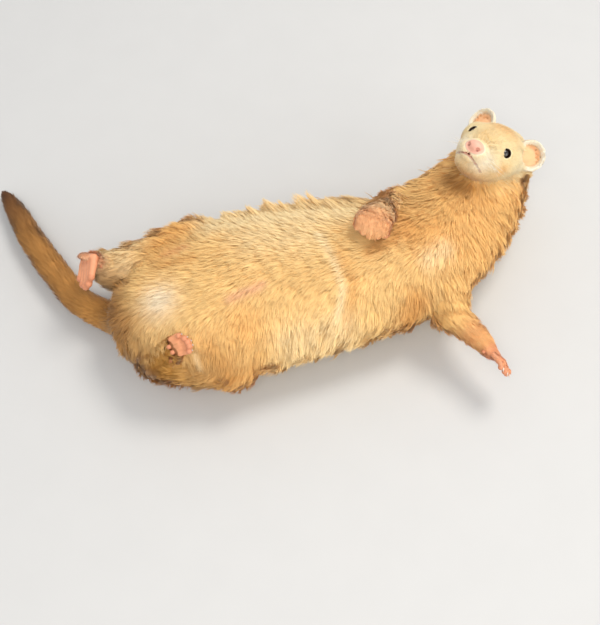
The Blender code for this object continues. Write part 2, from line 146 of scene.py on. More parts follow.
# Legs: their joints are hip or shoulder, knee or elbow, hock or wrist, knuckles and toe tips. Radii are
# given at the first three and halfway between them, and the coat's depth at all five. A paw has a half
# width and a half depth. Toes have a radius, a start behind the knuckles, a share of the way to their tips
# and the width of their web. "bare" says how bare the toes are, "sole" how much painted shade darkens
# the sole round its palm pads.
LEGS = {
    "foreleg_right": {
        "joints": [(112, 42, 42), (92, 50, 50), (69, 28, 79), (57, 13, 91), (52, 3, 87)],
        "radii": (17, 16, 13, 11, 9),
        "paw": (12.5, 8),
        "back_of_paw": (-0.3, -0.3, 0.9),
        "coat": (7, 6, 4.5, 3.3, 1.9),
        "toes": (2.9, 0, 0.85, 4.0),
        "bare": 0,
        "sole": 0,
    },
    "foreleg_left": {
        "joints": [(106, -17, 44), (101, -47, 42), (116, -72, 41), (123, -87, 40), (129, -101, 37)],
        "radii": (20, 19, 15, 10.5, 8),
        "paw": (9, 5.5),
        "back_of_paw": (0.8, 0.35, 0.5),
        "coat": (8, 5, 1.8, 1.2, 0.9),
        "toes": (2.2, 0, 1.0, 0.6),
        "bare": 0.4,
        "sole": 0,
    },
    "hind_leg_right": {
        "joints": [(-90, 32, 38), (-70, 47, 56), (-129, 41.5, 44), (-149.5, 45, 65), (-152.5, 29, 57)],
        "radii": (22, 21, 18, 18.5, 18),
        "paw": (9.5, 6),
        "back_of_paw": (0.37, 0.88, 0.28),
        "coat": (7, 6.5, 6.5, 2.2, 0.6),
        "toes": (3.1, 0.1, 1.1, 0.9),
        "bare": 0.9,
        "sole": 0,
    },
    "hind_leg_left": {
        "joints": [(-92, -32, 38), (-60, -52, 35), (-114, -40, 42), (-98, -44, 69), (-86, -46, 77)],
        "radii": (22, 22, 19, 17, 13),
        "paw": (8, 5.5),
        "back_of_paw": (0.68, 0.51, -0.52),
        "coat": (7, 7, 4.5, 2.5, 0.6),
        "toes": (2.3, 0, 0.8, 0.5),
        "bare": 0.9,
        "sole": 0.9,
    },
}
TOES = 5
PALM_PADS = ((-0.95, 0.35), (-0.33, 0.08), (0.33, 0.08), (0.95, 0.35))  # shares across and back
TOE_ARCH = 0.5
TOE_FAN = 1.15
OUTER_TOE_SHORTER = 0.3
CLAW_RADIUS = 1.05
CLAW_LENGTH = 4.4
CLAW_DROOP = 0.35
CORNEA_BULGE = 0.035
EYE_PUPIL = np.array((0.006, 0.004, 0.004))
EYE_IRIS = np.array((0.022, 0.011, 0.007))
WHISKERS = 11  # on each side
WHISKER_RADIUS = 0.11
WHISKER_BEND = np.array((-0.45, 0, -0.12))

# Fur
LENGTH_SHARE = 2.2  # the length of a blade over the depth of its coat
LOCK_SHARE = 0.07  # the share of tufts that lead a lock
LOCK_PULL = 0.28  # how far the tips of a lock draw together
LOCK_TONE = 0.1
RISE = (0.5, 0.32)  # the height of a blade's tip over the depth of its coat, and what chance adds
ROOT_DEPTH = 0.35  # how deep the roots stand in the skin
TAIL_DENSITY = 0.85  # tufts to a square millimetre
UNDERSIDE_SHARE = 0.4  # of the tufts elsewhere, where the skin faces down
SPOT = 0.003  # the size of a tuft's patch on the unwrap

# Camera and stage, in metres where the solids stand
LOOK_AT = (0.0079, -0.0287, 0.0)
CAMERA_TURN = -13.0
CAMERA_RISE = 61.0
CAMERA_DISTANCE = 0.780
FOCAL_PIXELS = 1000.0
PHOTO_HEIGHT = 625.0
SENSOR_HEIGHT = 36.0
FLOOR_HALF = 6.0
FLOOR_TONE = (0.6, 0.595, 0.585)
# Lamps: name, place, size, power and tone
LAMPS = [
    ("key", (0.7, 0.3, 1.55), 0.7, 13.5, (1.0, 0.96, 0.9)),
    ("fill", (-0.2, -0.65, 1.1), 0.5, 4.5, (1.0, 0.97, 0.92)),
    ("low", (0.9, -1.1, 0.55), 1.2, 7.5, (1.0, 0.97, 0.92)),
]
SKY_TONE = (0.95, 0.97, 1.0, 1)
SKY_STRENGTH = 0.7


def norm(vectors):
    return np.linalg.norm(vectors, axis=-1)


def unit(vectors):
    return vectors / np.maximum(np.linalg.norm(vectors, axis=-1, keepdims=True), TINY)


def dot(a, b):
    return np.sum(a * b, axis=-1)


def fade(low, high, values):
    """A smooth passage from 0 at low to 1 at high, where low may be the greater."""
    t = np.clip((values - low) / (high - low), 0, 1)
    return t * t * (3 - 2 * t)


def blend(a, b, share):
    return a + (b - a) * np.asarray(share)[:, None]


def segment(points, start, end):
    """The share of a straight length that each point is nearest to, and the gap to there."""
    start = np.asarray(start, float)
    way = end - start
    t = np.clip((points - start) @ way / max(way @ way, TINY), 0, 1)
    return t, points - start - t[:, None] * way


def catmull_rom(rows, steps):
    """Rows made denser by a smooth curve through them."""
    rows = np.array(rows, float)
    padded = np.vstack((2 * rows[0] - rows[1], rows, 2 * rows[-1] - rows[-2]))
    dense = []
    t = (np.arange(steps) / steps)[:, None]
    for a, b, c, d in zip(padded, padded[1:], padded[2:], padded[3:]):
        bend = (2 * a - 5 * b + 4 * c - d) * t**2 + (3 * (b - c) + d - a) * t**3
        dense.extend(0.5 * (2 * b + (c - a) * t + bend))
    return np.array(dense + [rows[-1]])


# Distances to simple forms, negative inside. Points are rows of x, y, z.


def smooth_min(a, b, width):
    """The lesser distance, rounded where the two meet."""
    near = np.maximum(width - np.abs(a - b), 0) / width
    return np.minimum(a, b) - near * near * (width / 4)


def smooth_max(a, b, width):
    return -smooth_min(-a, -b, width)


def ball(points, centre, halves):
    """An ellipsoid along the axes, true near its surface."""
    near = (points - centre) / halves
    reach = norm(near)
    slope = norm(near / halves)
    return reach * (reach - 1) / np.maximum(slope, 1e-6)


def cone(points, start, end, start_radius, end_radius):
    """A round-ended length that tapers."""
    t, gap = segment(points, start, end)
    return norm(gap) - (start_radius + (end_radius - start_radius) * t)


def least(points, distances):
    """The least of several distances."""
    found = np.full(len(points), FAR)
    for distance in distances:
        found = np.minimum(found, distance)
    return found


def near_only(points, centre, reach, distance):
    """A distance that is worked out only near a centre."""
    found = np.full(len(points), FAR)
    near = norm(points - centre) < reach
    if near.any():
        found[near] = distance(points[near])
    return found


class Tube:
    """An elliptic tube round a smooth line."""

    def __init__(self, rows, side, coat_share, ends=(1.0, 1.0)):
        dense = catmull_rom(rows, 4)
        self.centres = dense[:, :3]
        self.coat = dense[:, 5]
        halves = dense[:, 3:5] - self.coat[:, None] * coat_share
        reach = halves.min(axis=1) * np.linspace(*ends, len(halves))
        self.halves = np.column_stack((halves, reach))
        tangents = unit(np.gradient(self.centres, axis=0))
        side = np.array(side, float)
        across = unit(side - tangents * (tangents @ side)[:, None])
        self.frames = np.stack((across, np.cross(tangents, across), tangents), axis=1)

    def place(self, points):
        """How far along the tube each point is, in segments."""
        best = np.full(len(points), np.inf)
        where = np.zeros(len(points))
        for i, (start, end) in enumerate(zip(self.centres, self.centres[1:])):
            t, gap = segment(points, start, end)
            size = dot(gap, gap)
            closer = size < best
            best = np.where(closer, size, best)
            where = np.where(closer, i + t, where)
        return where

    def read(self, name, where):
        """The rows of one of the tube's tables at places along it."""
        table = getattr(self, name)
        low = np.minimum(where.astype(int), len(self.centres) - 2)
        t = (where - low).reshape(-1, *([1] * (table.ndim - 1)))
        return table[low] * (1 - t) + table[low + 1] * t

    def offset(self, points, where):
        """Each point's offset from the line: across, up and along."""
        gap = points - self.read("centres", where)
        return np.einsum("nij,nj->ni", self.read("frames", where), gap)

    def distance(self, points):
        where = self.place(points)
        return ball(self.offset(points, where), 0, self.read("halves", where))


TRUNK = Tube(TRUNK_ROWS, TRUNK_SIDE, (1.0, 0.75), ends=(0.55, 1.0))
TAIL = Tube(TAIL_ROWS, TAIL_SIDE, (1.0, 0.9))


# The head, worked out in its own frame: forward, left, up


def head_axes():
    forward = unit(HEAD_FORWARD)
    left = unit(HEAD_LEFT - forward * (forward @ HEAD_LEFT))
    return np.stack((forward, left, np.cross(forward, left)))


HEAD_AXES = head_axes()
SKULL_ROWS = [(f, 0, u + FACE_BIAS * coat, wide, high, coat) for f, u, wide, high, coat in HEAD_ROWS]
SKULL = Tube(SKULL_ROWS, (0, 1, 0), (1.0, 1.0), ends=(1.0, MUZZLE_ROUNDNESS))
# Forms that swell the skull, on its left: centre, half sizes, how wide they blend
HEAD_SWELLINGS = [
    ((40.5, 5.6, -9.0), (7.6, 5.8, 5.0), 3.0),  # whisker pad
    ((38.5, 2.5, -18.5), (7.0, 6.0, 4.2), 4.0),  # chin
    ((20, 10.3, -0.5), (9, 8.3, 9), 5.0),  # round the eye
    ((14, 18, 0), (10, 6, 9), 5.0),  # temple
    ((-6, 20, 6), (9, 6.5, 8), 6.0),  # root of the ear
]


def to_head(points):
    return (points - HEAD_AT) @ HEAD_AXES.T


def to_side(points):
    return mirrored(to_head(points))


def from_head(points):
    return HEAD_AT + np.asarray(points) @ HEAD_AXES


def mirrored(head_points):
    """Both sides of the head folded onto its left."""
    return head_points * (1, 0, 1) + np.abs(head_points) * (0, 1, 0)


def plane_frame(facing, up):
    """Two directions across and up a surface that faces one way, with that way."""
    facing = unit(facing)
    up = unit(np.asarray(up, float) - facing * (facing @ up))
    return np.stack((np.cross(up, facing), up, facing))


EAR_FRAME = plane_frame(EAR_FACING, EAR_OUTWARD)
EYE_FRAME = plane_frame(EYE_OUTWARD, (0.1, -0.25, 1.0))


def ear_place(side_points):
    """The share of the way out to the ear's rim, and the height over its middle."""
    across, out, facing = ((side_points - EAR_AT) @ EAR_FRAME.T).T
    share = np.hypot(across / EAR_HALF_WIDTH, out / EAR_HEIGHT)
    return share, facing - EAR_HOLLOW * share**2


def lid_place(side_points):
    """The share of the way out to the lid's edge, and the height over the eye's middle."""
    across, up, height = ((side_points - EYE_AT) @ EYE_FRAME.T).T
    return np.hypot(across / LID_OPENING[0], up / LID_OPENING[1]), height


def ear_distance(side_points):
    share, height = ear_place(side_points)
    half = EAR_THICKNESS[0] + EAR_THICKNESS[1] * np.clip(share, 0, 1) ** 3
    beyond = np.maximum((share - 1) * EAR_HALF_WIDTH + half, 0)
    return np.hypot(beyond, height) - half


def eyelids(side_points, head):
    """The head with a lid round each eye, and a pit in which the eyeball sits."""
    head = smooth_min(head, norm(side_points - EYE_AT) - (EYE_RADIUS + LID_THICKNESS), LID_JOIN)
    share, out = lid_place(side_points)
    pit = np.maximum((share - 1) * min(LID_OPENING), PIT_FLOOR - out)
    return smooth_max(head, -pit, LID_EDGE)


def mouth_gap(side_points):
    """The distance from the line where the lips meet."""
    squeeze = np.array((MOUTH_DEPTH, MOUTH_DEPTH, 1))
    near, stops = side_points * squeeze, MOUTH * squeeze
    return least(side_points, (cone(near, *ends, 0, 0) for ends in zip(stops, stops[1:])))


def nose_distance(side_points):
    nose = ball(side_points, NOSE_AT, NOSE_HALVES)
    hole = ball(side_points, NOSTRIL_AT, NOSTRIL_HALVES)
    slit = cone(side_points, NOSTRIL_AT, NOSTRIL_AT + (-2.4, 2.3, -0.4), 0.6, 0.3)
    return smooth_max(nose, -smooth_min(hole, slit, 0.5), 0.5)


def face_distance(head_points):
    side = mirrored(head_points)
    head = SKULL.distance(head_points)
    for centre, halves, width in HEAD_SWELLINGS:
        head = smooth_min(head, ball(side, np.array(centre), np.array(halves)), width)
    head = smooth_min(head, nose_distance(side), 0.9)
    head = smooth_max(head, -cone(side, *PHILTRUM), 0.6)
    head = smooth_max(head, LIP_GROOVE - mouth_gap(side), 0.7)
    head = eyelids(side, head)
    return smooth_min(head, ear_distance(side), 2.5)


def head_distance(points):
    return near_only(points, from_head(HEAD_MIDDLE), HEAD_REACH, lambda near: face_distance(to_head(near)))


# The legs


class Paw:
    """A paw's palm, toes and pads, worked out from its leg's joints."""

    def __init__(self, leg):
        self.wrist, self.knuckles, self.tips = [np.array(joint, float) for joint in leg["joints"][2:5]]
        self.half_width, self.half_depth = leg["paw"]
        self.toe_radius, self.toe_start, self.toe_reach, self.web = leg["toes"]
        self.coat = leg["coat"][3]
        self.wrist_radius = leg["radii"][4] - leg["coat"][2]
        self.along = self.knuckles - self.wrist
        self.across = unit(np.cross(leg["back_of_paw"], self.along))
        self.back = unit(np.cross(self.along, self.across))
        self.toes = [self.toe(2 * i / (TOES - 1) - 1) for i in range(TOES)]
        self.centre = (self.knuckles + self.wrist) / 2

    def toe(self, place):
        spread = self.across * (place * (self.half_width - self.toe_radius))
        root = self.knuckles + spread - self.along * self.toe_start
        tip = self.tips + spread * TOE_FAN + (self.knuckles - self.tips) * (OUTER_TOE_SHORTER * place**2)
        tip = root + (tip - root) * self.toe_reach
        radius = self.toe_radius * (1 - 0.1 * abs(place))
        middle = (root + tip) / 2 + self.back * (radius * TOE_ARCH)
        return root, middle, tip, radius

    def pads(self):
        """Centres and radii of the pads, first those under the toes, then those under the palm."""
        found = [(tip - self.back * (radius * 0.6), radius * 0.95) for _, _, tip, radius in self.toes]
        for place, back in PALM_PADS:
            palm = self.knuckles + self.across * (place * self.half_width * 0.85)
            palm = palm - self.along * back - self.back * (self.half_depth * 0.62)
            found.append((palm, self.toe_radius * 0.7))
        return found

    def distance(self, points):
        middle = self.wrist + self.along * 0.55
        flat = (points - middle) @ np.stack((self.across, self.back, unit(self.along))).T
        length = np.linalg.norm(self.along)
        halves = (self.half_width * 0.95, self.half_depth - self.coat, length * 0.62)
        palm = ball(flat, 0, np.array(halves))
        palm = smooth_min(palm, cone(points, self.wrist, middle, self.wrist_radius, self.half_depth - 1), 4)
        toes = np.full(len(points), FAR)
        for root, middle, tip, radius in self.toes:
            low = cone(points, root, middle, radius, radius)
            high = cone(points, middle, tip, radius, radius * 0.85)
            toes = smooth_min(toes, smooth_min(low, high, 1.0), self.web)
        paw = smooth_min(palm, toes, 2.0)
        for centre, radius in self.pads():
            paw = smooth_min(paw, cone(points, centre, centre + self.back * 0.1, radius, radius), 0.7)
        return paw


PAWS = {name: Paw(leg) for name, leg in LEGS.items()}


def limb_distance(points, leg):
    """The two long lengths of a leg."""
    hip, knee, hock = [np.array(joint, float) for joint in leg["joints"][:3]]
    radii = np.array(leg["radii"]) - np.interp((0, 0.5, 1, 1.5, 2), (0, 1, 2), leg["coat"][:3])
    stops = [hip, (hip + knee) / 2, knee, (knee + hock) / 2, hock]
    found = np.full(len(points), FAR)
    for i in range(4):
        found = smooth_min(found, cone(points, *stops[i : i + 2], *radii[i : i + 2]), KNEE_JOIN)
    return found


def leg_distance(points, name):
    paw = PAWS[name]
    hand = near_only(points, paw.centre, PAW_REACH, paw.distance)
    return smooth_min(limb_distance(points, LEGS[name]), hand, PAW_JOIN)


def skin_distance(points):
    """The distance to the whole animal's skin."""
    tail = near_only(points, TAIL_MIDDLE, TAIL_REACH, TAIL.distance)
    body = smooth_min(TRUNK.distance(points), tail, TAIL_JOIN)
    for name in LEGS:
        body = smooth_min(body, leg_distance(points, name), LEG_JOIN)
    body = smooth_min(body, head_distance(points), HEAD_JOIN)
    return smooth_max(body, FLOOR_SKIN - points[:, 2], FLOOR_JOIN)


# The skin's mesh: a net over a grid of distances, then finer where the detail is


def in_parts(work, points, size=40000):
    """A function's result, or its several results, worked out a part of the points at a time."""
    found = [work(points[i : i + size]) for i in range(0, len(points), size)]
    if isinstance(found[0], tuple):
        return [np.concatenate(column) for column in zip(*found)]
    return np.concatenate(found)


def slope(points, step=0.06):
    """The direction in which the distance to the skin grows."""
    total = np.zeros_like(points)
    for corner in np.array(((1, -1, -1), (-1, -1, 1), (-1, 1, -1), (1, 1, 1))):
        total += corner * skin_distance(points + corner * step)[:, None]
    return total / (4 * step)


def onto_skin(points, rounds=3):
    """Moves points straight to the skin."""
    for _ in range(rounds):
        steep = slope(points)
        move = skin_distance(points)[:, None] * steep / np.maximum(dot(steep, steep), 0.25)[:, None]
        length = np.linalg.norm(move, axis=-1, keepdims=True)
        points = points - move * np.minimum(1, CELL / np.maximum(length, TINY))
    return points


def grid_points(low, counts, step):
    axes = [low[i] + step * np.arange(counts[i]) for i in range(3)]
    return np.stack(np.meshgrid(*axes, indexing="ij"), axis=-1)


def sample_grid():
    """Distances at the nodes of a grid, rough where the skin is far."""
    block = CELL * ROUGH
    counts = np.ceil((GRID_HIGH - GRID_LOW) / block).astype(int)
    centres = grid_points(GRID_LOW + (block - CELL) / 2, counts, block)
    values = in_parts(skin_distance, centres.reshape(-1, 3)).reshape(counts)
    for axis in range(3):
        values = np.repeat(values, ROUGH, axis=axis)
    near = np.abs(values) < block * 0.87 + CELL * 1.3
    points = grid_points(GRID_LOW, counts * ROUGH, CELL)[near]
    values[near] = in_parts(skin_distance, points)
    return values


def surface_net(values):
    """A mesh with one point in each cell that the skin passes through."""
    inside = values < 0
    size = np.array(values.shape)
    corners = [np.array(corner) for corner in np.ndindex(2, 2, 2)]
    windows = [tuple(slice(c, n - 1 + c) for c, n in zip(corner, size)) for corner in corners]
    filled = sum(inside[window].astype(np.int8) for window in windows)
    active = (filled > 0) & (filled < 8)
    number = np.full(active.shape, -1)
    number[active] = np.arange(active.sum())
    cells = np.argwhere(active)
    total, hits = np.zeros((len(cells), 3)), np.zeros(len(cells))
    for start in corners:
        for axis in np.flatnonzero(start == 0):
            way = AXES[axis]
            a = values[tuple((cells + start).T)]
            b = values[tuple((cells + start + way).T)]
            crossed = (a < 0) != (b < 0)
            place = start + way * (a / np.where(crossed, a - b, 1))[:, None]
            total[crossed] += place[crossed]
            hits += crossed
    points = GRID_LOW + CELL * (cells + total / hits[:, None])
    quads = []
    for axis in range(3):
        way, b, c = np.roll(AXES, -axis, axis=0)
        low = tuple(slice(0, n - w) for n, w in zip(size, way))
        high = tuple(slice(w, n) for n, w in zip(size, way))
        edges = np.argwhere(inside[low] != inside[high])
        around = [number[tuple((edges - shift).T)] for shift in (b + c, c, 0 * c, b)]
        quad = np.stack(around, axis=1)
        outward = inside[tuple(edges.T)]
        quads.append(np.where(outward[:, None], quad, quad[:, ::-1]))
    return points, np.concatenate(quads)


def relaxed(points, quads, rounds):
    """Evens out the spacing of the points over the skin."""
    ends = np.concatenate((quads, np.roll(quads, -1, axis=1)), axis=1).reshape(-1, 2, 4)
    a, b = ends[:, 0].ravel(), ends[:, 1].ravel()
    count = np.maximum(np.bincount(a, minlength=len(points)), 1)
    for _ in range(rounds):
        middle = np.stack([np.bincount(a, points[b, i], len(points)) for i in range(3)], axis=1)
        points = onto_skin(points * 0.5 + middle / count[:, None] * 0.5, 1)
    return points


def detail(points):
    """How many times the net is halved at each point."""
    side = to_side(points)
    share, height = ear_place(side)
    once = norm(side - FACE_MIDDLE) < FINE_FACE
    once |= (share < 1.25) & (np.abs(height) < 6)
    twice = (norm(side - EYE_AT) < FINE_EYE) | (norm(side - NOSE_AT) < FINE_NOSE)
    twice |= mouth_gap(side) < FINE_MOUTH
    for paw in PAWS.values():
        once |= norm(points - paw.tips - (paw.knuckles - paw.tips) * 0.7) < FINE_PAW
        twice |= norm(points - (paw.tips + paw.knuckles) / 2) < FINE_TOES
    return once.astype(int) + twice


def net_points(net):
    return np.array([vert.co for vert in net.verts])


def net_faces(net):
    return [[vert.index for vert in face.verts] for face in net.faces]


def refined(points, quads):
    """Halves the faces where there is detail, and moves the new points to the skin."""
    mesh = bpy.data.meshes.new("net")
    mesh.from_pydata(points.tolist(), [], quads.tolist())
    net = bmesh.new()
    net.from_mesh(mesh)
    bpy.data.meshes.remove(mesh)
    for level in (1, 2):
        chosen = detail(net_points(net)) >= level
        net.verts.index_update()
        edges = [edge for edge in net.edges if all(chosen[vert.index] for vert in edge.verts)]
        bmesh.ops.subdivide_edges(net, edges=edges, cuts=1, use_grid_fill=True)
        net.verts.index_update()
        places = net_points(net)
        fine = detail(places) >= level
        places[fine] = in_parts(lambda part: onto_skin(part, 2), places[fine])
        for vert, place in zip(net.verts, places):
            vert.co = place
    bmesh.ops.triangulate(net, faces=[face for face in net.faces if len(face.verts) > 4])
    return net


def make_skin_net():
    points, quads = surface_net(sample_grid())
    points = in_parts(onto_skin, points)
    points = relaxed(points, quads, 2)
    return refined(points, quads)


# The coat: how it lies, how deep it is and its colour, at any point of the skin


def linear(code):
    """A colour written as in a picture file, as light."""
    parts = np.array([int(code[i : i + 2], 16) for i in (0, 2, 4)]) / 255
    return np.where(parts <= 0.04045, parts / 12.92, ((parts + 0.055) / 1.055) ** 2.4)


CREAM, GOLD, HONEY, UMBER = map(linear, ("F0CB8A", "E3A658", "D0924A", "A8733B"))
PALE_GOLD, LEG_GOLD, PALE, SHADE = map(linear, ("EFD092", "EFC47F", "FAEBC4", "7E5220"))
TAIL_BROWN, TAIL_TIP = map(linear, ("BC8748", "643E22"))
FACE, WHITE, AMBER = map(linear, ("F0DFB2", "FAF4E6", "EBBC7C"))
NOSE_PINK, NOSTRIL_SHADE, LIP_PINK = map(linear, ("EEB29A", "8E5046", "C98F78"))
LID_PINK, LID_BROWN, EAR_PEACH = map(linear, ("EBC6AC", "2E1A14", "F6BE8C"))
PAW_PINK, TOE_PINK, SOLE_SHADE, BELLY_PINK = map(linear, ("DA8F68", "F2A276", "84502F", "EBB59A"))
# The coat's colours from the hock or wrist on, and at the toes
PAW_COLOURS = {
    "foreleg_right": ("F3CF9C", "F5BE8C"),
    "foreleg_left": ("F2BC80", "F2AE84"),
    "hind_leg_right": ("F6D8A4", "F2BE98"),
    "hind_leg_left": ("D9A24C", "D8A050"),
}

# Soft marks on the coat, each along a line: its stops, reach, colour and strength. Many of them are painted
# shade, and one is partly painted light.
MARKS = [
    (((-55, -21.5, 80), (-42, -18.8, 80), (-31, -16, 80)), 3.5, BELLY_PINK, 0.6),
    # Pale line along the waist fold: partly pale fur, partly painted light on the fold's crest
    (
        ((18, 19, 77), (21.7, -1, 78), (24, -15, 76), (25, -26, 72), (21, -37, 68), (16, -45, 62)),
        3,
        PALE,
        0.65,
    ),
    # Painted shade beside the waist fold
    (((29, -1, 77), (32, -15, 76), (33, -26, 72), (29, -37, 67), (23, -46, 60)), 4.5, GOLD, 0.45),
    (((-104, -10, 77),), 13, WHITE, 0.65),
    (((-55, 50, 66), (0, 46, 68), (45, 38, 70)), 15, PALE, 0.6),
    (((-30, 24, 80), (5, 20, 79)), 18, PALE, 0.4),
    (((-20, -55, 56), (20, -52, 54)), 13, PALE, 0.4),
    (((-96, 46, 66), (-75, 52, 66)), 9, GOLD, 0.4),
    # Painted shade along the edge of the left flank
    (((-66, -66, 38), (-46, -64, 36)), 9, HONEY, 0.7),
    # Painted shade in the crease of the right thigh
    (((-98, 19, 77), (-76, 17, 80)), 4.5, HONEY, 0.5),
    (((-92, 29, 72), (-78, 30, 73)), 4, PAW_PINK, 0.4),
    # Painted shade between the left hind foot and the flank
    (((-76, -49, 63), (-70, -58, 55)), 9, HONEY, 0.6),
    # Painted shadow beneath the left hind foot
    (((-90, -58, 50), (-80, -62, 42)), 10, UMBER, 0.6),
    (((-86.5, -50, 60), (-84.5, -56, 53)), 2, PALE, 0.5),
    (((-50, -43, 71),), 17, GOLD, 0.5),
    (((-100, 30, 66), (-84, 44, 64)), 11, GOLD, 0.5),
    # Rump darker towards the tail: partly the coat's own darker tone, partly painted shade
    (((-132, -16, 60), (-138, 4, 57)), 13, UMBER, 0.8),
    # Painted shade between the right hind leg and the tail
    (((-126, 20, 62), (-138, 30, 52)), 9, UMBER, 0.6),
    # Painted shade on the lower left of the rump, down towards the floor
    (((-124, -40, 50), (-118, -52, 42)), 14, UMBER, 0.6),
    # Painted shade on the tail's root, where the right hind foot shades it
    (((-146, 18, 35), (-140, 6, 40)), 10, SHADE, 0.65),
    # Painted shadow of the right forepaw on the chest, below and beside it
    (((60, 4, 78), (50, -4, 78), (62, -2, 78), (74, 6, 78)), 5, HONEY, 0.6),
    (((84, 2, 77), (80, 20, 77)), 9, HONEY, 0.5),
    (((96, 0, 76),), 22, GOLD, 0.45),
    (((91, -18, 72), (105, -12, 72)), 8, PALE, 0.5),
    # Painted shade in the left armpit
    (((77, -43, 56), (70, -50, 46)), 11, HONEY, 0.8),
    # Throat darker: partly the coat's own golden tone, partly painted shade under the head
    (((128, 37, 76), (142, 28, 76)), 12, HONEY, 0.5),
    # Painted shadow under the chin
    (((126, 46, 74), (134, 34, 77)), 7, UMBER, 0.8),
]
MARK_HEIGHT = 0.4  # how much a mark heeds height, next to length and width
# Locks that stand out of the coat: where they grow, where their points are, and how wide their root is
STANDING_LOCKS = [
    ((-36, 50, 64), (-46, 61, 68), 6),
    ((-17, 50, 64), (-27, 61, 69), 6),
    ((-2, 49, 64), (-14, 62.5, 71), 7),
    ((7, 49, 64), (-3, 60, 70), 5),
    ((22, 47, 65), (8, 62, 73), 7),
    ((29, 46, 65), (18, 62, 73), 6),
    ((41, 43, 66), (32, 54, 72), 6),
]
# Soft marks on the face, on both sides, in the head's frame
FACE_MARKS = [
    ((40, 8, -9), 9, WHITE, 0.9),
    ((14, 0, 17), 13, GOLD, 0.6),
    ((31, 3, 5), 6, AMBER, 0.45),
    ((24, 18, -9), 6, AMBER, 1),
    ((8, 22, 0), 9, WHITE, 0.35),
    ((5, 0, -30), 16, GOLD, 0.8),
]
COAT_BLEND = 2.5  # over how many millimetres one part's coat passes into the next


def towards(points, stops):
    """The direction along a line of stops, and how far along each point is."""
    stops = np.array(stops, float)
    total, places, weights = np.zeros_like(points), np.zeros(len(points)), np.zeros(len(points))
    for i, (start, end) in enumerate(zip(stops, stops[1:])):
        way = end - start
        t, gap = segment(points, start, end)
        weight = np.exp(-norm(gap) / 4)
        total += weight[:, None] * way / np.linalg.norm(way)
        places += weight * (i + t)
        weights += weight
    return unit(total), places / np.maximum(weights, TINY)


def trunk_coat(points):
    where = TRUNK.place(points)
    frames = TRUNK.read("frames", where)
    across, up, _ = TRUNK.offset(points, where).T
    half = TRUNK.read("halves", where)
    outward = np.clip(across / half[:, 0], -1, 1)
    turn = np.where(outward < 0, 0.62 * fade(-0.1, -0.7, outward), 0.45 * fade(0.1, 0.6, outward))
    flow = -frames[:, 2] * (0.8 - turn)[:, None] + frames[:, 0] * outward[:, None]
    along = points[:, 0]
    top = blend(CREAM, GOLD, fade(75, 135, along) * 0.45)
    # Lower on the sides, and most towards the rear, the coat turns darker: partly its own darker tone,
    # partly painted shade
    side = blend(HONEY, PALE_GOLD, fade(-100, -40, along))
    colour = blend(top, side, fade(0.1, -0.7, up / half[:, 1]))
    # Rump darker towards the tail: partly the coat's own darker tone, partly painted shade
    colour = blend(colour, UMBER, fade(-116, -136, along) * 0.7)
    return flow, TRUNK.read("coat", where), colour


def tail_coat(points):
    where = TAIL.place(points)
    share = where / (len(TAIL.centres) - 1)
    colour = blend(GOLD, TAIL_BROWN, fade(0.1, 0.45, share))
    colour = blend(colour, TAIL_TIP, fade(0.55, 0.95, share))
    return TAIL.read("frames", where)[:, 2], TAIL.read("coat", where), colour


def head_coat(points):
    head_points = to_head(points)
    side = mirrored(head_points)
    share, height = ear_place(side)
    on_ear = fade(4.5, 1.5, np.abs(height)) * fade(1.3, 1.05, share)
    on_ear *= fade(-0.8, -0.3, ((side - EAR_AT) @ EAR_FRAME.T)[:, 1] / EAR_HEIGHT)
    by_ear = fade(1.7, 1.1, share) * fade(9, 5, np.abs(height))
    from_eye = side - EYE_AT
    by_eye = fade(7.5, 5.5, norm(from_eye))
    handed = np.where(head_points[:, 1:2] < 0, (1, -1, 1), (1, 1, 1))
    flow = unit(head_points - HAIR_PARTS_AT) + on_ear[:, None] * (EAR_OUTWARD * handed * 2)
    flow = unit(flow + by_eye[:, None] * unit(from_eye) * handed * 3)
    where = SKULL.place(head_points)
    rise = SKULL.offset(head_points, where)[:, 1] / SKULL.read("halves", where)[:, 1]
    depth = SKULL.read("coat", where) * (1 - FACE_BIAS * np.clip(rise, -1, 1))
    depth = depth + (EAR_ROOT_COAT - depth) * by_ear
    depth = depth + (EAR_COAT - depth) * on_ear
    for low, growth, gap in (
        (0.6, 0.16, norm(from_eye) - 4),
        (0.3, 0.3, mouth_gap(side) - 1),
        (0.4, 0.35, nose_distance(side)),
    ):
        depth = np.minimum(depth, low + growth * np.maximum(gap, 0))
    inner = on_ear * fade(0.85, 0.55, share) * fade(-0.5, 0.3, height)
    colour = blend(np.tile(FACE, (len(points), 1)), EAR_PEACH, inner)
    colour = blend(colour, WHITE, on_ear * fade(0.66, 0.84, share))
    return flow @ HEAD_AXES, depth, colour


def leg_coat(points, name):
    flow, place = towards(points, LEGS[name]["joints"])
    depth = np.interp(place, (0, 1, 2, 2.8, 3.15), LEGS[name]["coat"])
    low, high = map(linear, PAW_COLOURS[name])
    colour = blend(LEG_GOLD, low, fade(0.9, 1.8, place))
    return flow, depth, blend(colour, high, fade(2.2, 2.9, place))


def coat_at(points):
    """The lie, depth and colour of the coat, and each body part's share in every point."""
    distances = [TRUNK.distance(points), TAIL.distance(points), head_distance(points)]
    distances += [leg_distance(points, name) for name in LEGS]
    coats = [trunk_coat(points), tail_coat(points), head_coat(points)]
    coats += [leg_coat(points, name) for name in LEGS]
    weights = np.exp(-(np.array(distances) - np.min(distances, axis=0)) / COAT_BLEND)
    weights /= weights.sum(axis=0)
    mean = [sum(weight * value.T for weight, value in zip(weights, values)).T for values in zip(*coats)]
    return *mean, weights.T


def with_mark(colour, gap, mark, strength):
    """A soft mark on a colour. The gap is a share of the mark's reach."""
    gap = np.minimum(gap, 9)
    return blend(colour, mark, strength * np.exp(-gap * gap))


